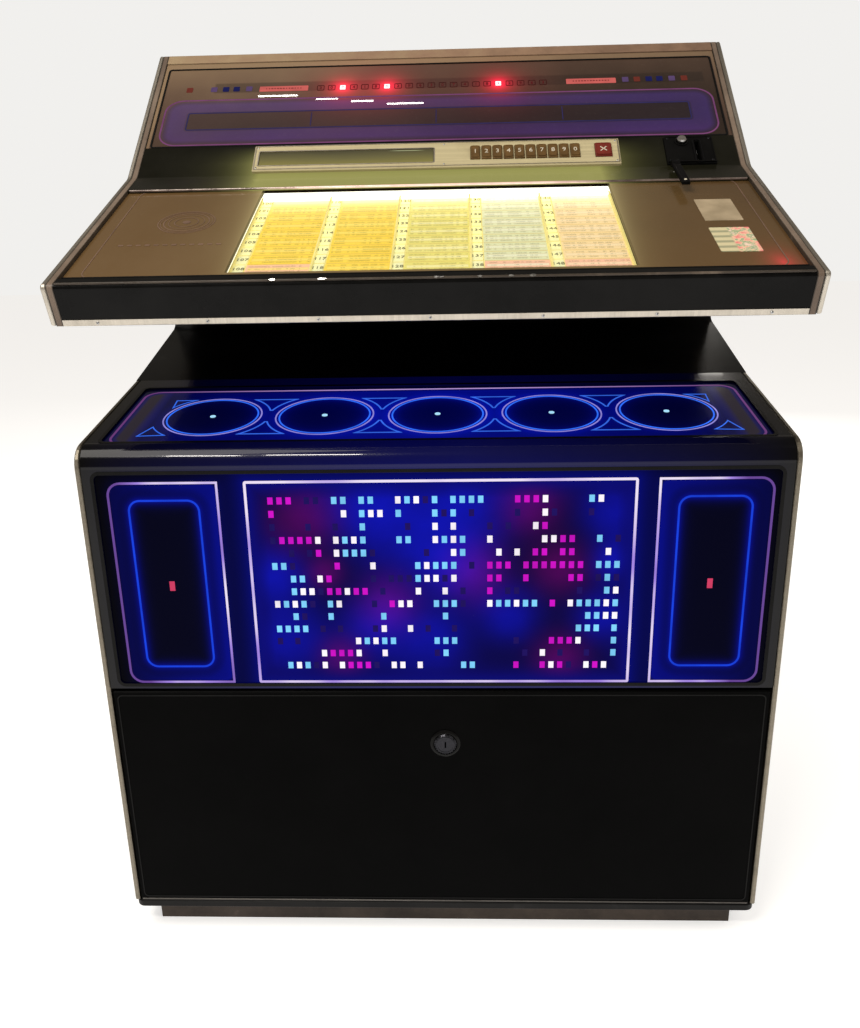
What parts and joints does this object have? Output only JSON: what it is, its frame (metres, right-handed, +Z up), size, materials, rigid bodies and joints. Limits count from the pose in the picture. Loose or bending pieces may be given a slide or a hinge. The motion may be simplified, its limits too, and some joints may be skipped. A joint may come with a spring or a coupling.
{
  "type": "jukebox",
  "caption": "Coin-operated jukebox: lectern lid with lit title desk and keypad over a glowing display front, drop-down door, speakers and record changer.",
  "frame": {"origin": "on the floor, under the middle of the bounding box", "axes": "+X to the viewer's right along the cabinet's width, +Y from the front to the back, +Z up"},
  "size_m": [0.86, 0.5959, 1.2008],
  "materials": {
    "black_laminate": "black laminate over board, satin with fine texture",
    "black_gloss": "high gloss black moulded sheet",
    "black_satin": "satin black lacquer",
    "plinth_brown": "dusty dark brown paint",
    "aluminium_trim": "satin extruded trim, slightly yellowed",
    "champagne": "champagne anodised, fine brushed",
    "steel": "zinc plated",
    "chrome": "bright plated",
    "smoked_glass": "smoked glass, printed on the back",
    "printed_glass": "black glass with glowing printed lines",
    "title_plate": "backlit card rack",
    "lamp_glass": "white fluorescent tube",
    "key_brown": "brown moulded key cap",
    "key_red": "red moulded key cap",
    "board_wood": "bare particle board",
    "circuit_board": "green circuit board",
    "cone_paper": "black pressed paper cone in a black steel basket",
    "cast_metal": "grey painted casting",
    "cream_plastic": "cream moulded plastic",
    "rubber": "black rubber"
  },
  "bodies": {
    "cabinet": {"side_board_left": "black_laminate", "side_board_right": "black_laminate", "body_trim_left": "aluminium_trim", "body_trim_right": "aluminium_trim", "back_board": "board_wood", "floor_board": "black_laminate", "plinth": "plinth_brown", "front_moulding": "black_gloss", "front_glass": "printed_glass", "shelf_glass": "printed_glass", "light_board": "circuit_board", "speaker_baffle": "board_wood", "woofer_left": "cone_paper", "woofer_right": "cone_paper", "amplifier": "cast_metal", "cash_box": "steel", "wheel_axle": "steel", "mechanism_chassis": "cast_metal", "turntable_motor": "steel", "lid_hinge": "steel"},
    "lid": {"lid_cheek_left": "black_laminate", "lid_cheek_right": "black_laminate", "lid_trim_left": "aluminium_trim", "lid_trim_right": "aluminium_trim", "lid_back": "black_satin", "top_cap": "smoked_glass", "hood_glass": "smoked_glass", "desk_glass": "smoked_glass", "fascia": "black_gloss", "fascia_strip": "aluminium_trim", "desk_pan": "black_satin", "neck_cover": "black_gloss", "title_rack": "title_plate", "title_lamp": "lamp_glass", "control_panel": "black_gloss", "keypad_bar": "champagne", "coin_block": "black_satin", "coin_acceptor": "steel"},
    "lower_door": {"lower_door": "black_satin"},
    "door_lock": {"door_lock": "chrome"},
    "turntable": {"turntable": "cast_metal"},
    "drive_wheel": {"drive_wheel": "rubber"},
    "record_magazine": {"record_magazine": "cream_plastic"},
    "gripper_arm": {"gripper_arm": "steel"},
    "tonearm": {"tonearm": "aluminium_trim"},
    "wheel_left": {"wheel_left": "rubber"},
    "wheel_right": {"wheel_right": "rubber"},
    "coin_button": {"coin_button": "chrome"},
    "return_lever": {"return_lever": "black_satin"},
    "reset_key": {"reset_key": "key_red"},
    "key_0": {"key_0": "key_brown"},
    "key_1": {"key_1": "key_brown"},
    "key_2": {"key_2": "key_brown"},
    "key_3": {"key_3": "key_brown"},
    "key_4": {"key_4": "key_brown"},
    "key_5": {"key_5": "key_brown"},
    "key_6": {"key_6": "key_brown"},
    "key_7": {"key_7": "key_brown"},
    "key_8": {"key_8": "key_brown"},
    "key_9": {"key_9": "key_brown"}
  },
  "joints": [
    {"name": "lid_tilt", "type": "hinge", "parent": "cabinet", "child": "lid", "pos_m": [0, 0.2948, 0.795], "axis": [-1, 0, 0], "range_deg": [0, 40]},
    {"name": "lower_door_swing", "type": "hinge", "parent": "cabinet", "child": "lower_door", "pos_m": [0, -0.2727, 0.0575], "axis": [1, 0, 0], "range_deg": [0, 85]},
    {"name": "door_lock_turn", "type": "hinge", "parent": "lower_door", "child": "door_lock", "pos_m": [0.009, -0.2767, 0.303], "axis": [0, 1, 0], "range_deg": [0, 90]},
    {"name": "key_1_press", "type": "slide", "parent": "lid", "child": "key_1", "axis": [0, 0.6578, -0.7532], "range_m": [0, 0.0025], "stiffness_N_per_m": 300, "springref_m": -0.0008},
    {"name": "key_2_press", "type": "slide", "parent": "lid", "child": "key_2", "axis": [0, 0.6578, -0.7532], "range_m": [0, 0.0025], "stiffness_N_per_m": 300, "springref_m": -0.0008},
    {"name": "key_3_press", "type": "slide", "parent": "lid", "child": "key_3", "axis": [0, 0.6578, -0.7532], "range_m": [0, 0.0025], "stiffness_N_per_m": 300, "springref_m": -0.0008},
    {"name": "key_4_press", "type": "slide", "parent": "lid", "child": "key_4", "axis": [0, 0.6578, -0.7532], "range_m": [0, 0.0025], "stiffness_N_per_m": 300, "springref_m": -0.0008},
    {"name": "key_5_press", "type": "slide", "parent": "lid", "child": "key_5", "axis": [0, 0.6578, -0.7532], "range_m": [0, 0.0025], "stiffness_N_per_m": 300, "springref_m": -0.0008},
    {"name": "key_6_press", "type": "slide", "parent": "lid", "child": "key_6", "axis": [0, 0.6578, -0.7532], "range_m": [0, 0.0025], "stiffness_N_per_m": 300, "springref_m": -0.0008},
    {"name": "key_7_press", "type": "slide", "parent": "lid", "child": "key_7", "axis": [0, 0.6578, -0.7532], "range_m": [0, 0.0025], "stiffness_N_per_m": 300, "springref_m": -0.0008},
    {"name": "key_8_press", "type": "slide", "parent": "lid", "child": "key_8", "axis": [0, 0.6578, -0.7532], "range_m": [0, 0.0025], "stiffness_N_per_m": 300, "springref_m": -0.0008},
    {"name": "key_9_press", "type": "slide", "parent": "lid", "child": "key_9", "axis": [0, 0.6578, -0.7532], "range_m": [0, 0.0025], "stiffness_N_per_m": 300, "springref_m": -0.0008},
    {"name": "key_0_press", "type": "slide", "parent": "lid", "child": "key_0", "axis": [0, 0.6578, -0.7532], "range_m": [0, 0.0025], "stiffness_N_per_m": 300, "springref_m": -0.0008},
    {"name": "reset_key_press", "type": "slide", "parent": "lid", "child": "reset_key", "axis": [0, 0.6578, -0.7532], "range_m": [0, 0.0025], "stiffness_N_per_m": 300, "springref_m": -0.0008},
    {"name": "coin_button_press", "type": "slide", "parent": "lid", "child": "coin_button", "axis": [0, 0.6578, -0.7532], "range_m": [0, 0.004], "stiffness_N_per_m": 300, "springref_m": -0.001},
    {"name": "return_lever_lift", "type": "hinge", "parent": "lid", "child": "return_lever", "pos_m": [0.324, 0.0086, 1.01814], "axis": [-1, 0, 0], "range_deg": [0, 25], "stiffness_Nm_per_rad": 0.05, "springref_deg": -11.46},
    {"name": "turntable_spin", "type": "hinge", "parent": "cabinet", "child": "turntable", "pos_m": [0.2525, 0.0353, 0.5345], "axis": [0, 1, 0], "continuous": true},
    {"name": "drive_wheel_spin", "type": "hinge", "parent": "cabinet", "child": "drive_wheel", "pos_m": [0.30489, 0.0353, 0.47207], "axis": [0, 1, 0], "continuous": true},
    {"name": "magazine_turn", "type": "hinge", "parent": "cabinet", "child": "record_magazine", "pos_m": [-0.15, 0.0353, 0.4465], "axis": [0, 0, 1], "continuous": true},
    {"name": "gripper_swing", "type": "hinge", "parent": "cabinet", "child": "gripper_arm", "pos_m": [0.1175, 0.0353, 0.445], "axis": [0, 1, 0], "range_deg": [-56, 56]},
    {"name": "tonearm_swing", "type": "hinge", "parent": "cabinet", "child": "tonearm", "pos_m": [0.372, 0.0353, 0.47], "axis": [0, -1, 0], "range_deg": [0, 40]},
    {"name": "wheel_left_roll", "type": "hinge", "parent": "cabinet", "child": "wheel_left", "pos_m": [-0.302, 0.2283, 0.019], "axis": [1, 0, 0], "continuous": true},
    {"name": "wheel_right_roll", "type": "hinge", "parent": "cabinet", "child": "wheel_right", "pos_m": [0.302, 0.2283, 0.019], "axis": [1, 0, 0], "continuous": true}
  ],
  "couplings": [
    {"joint": "drive_wheel_spin", "follows": "turntable_spin", "ratio": -4.0625}
  ]
}
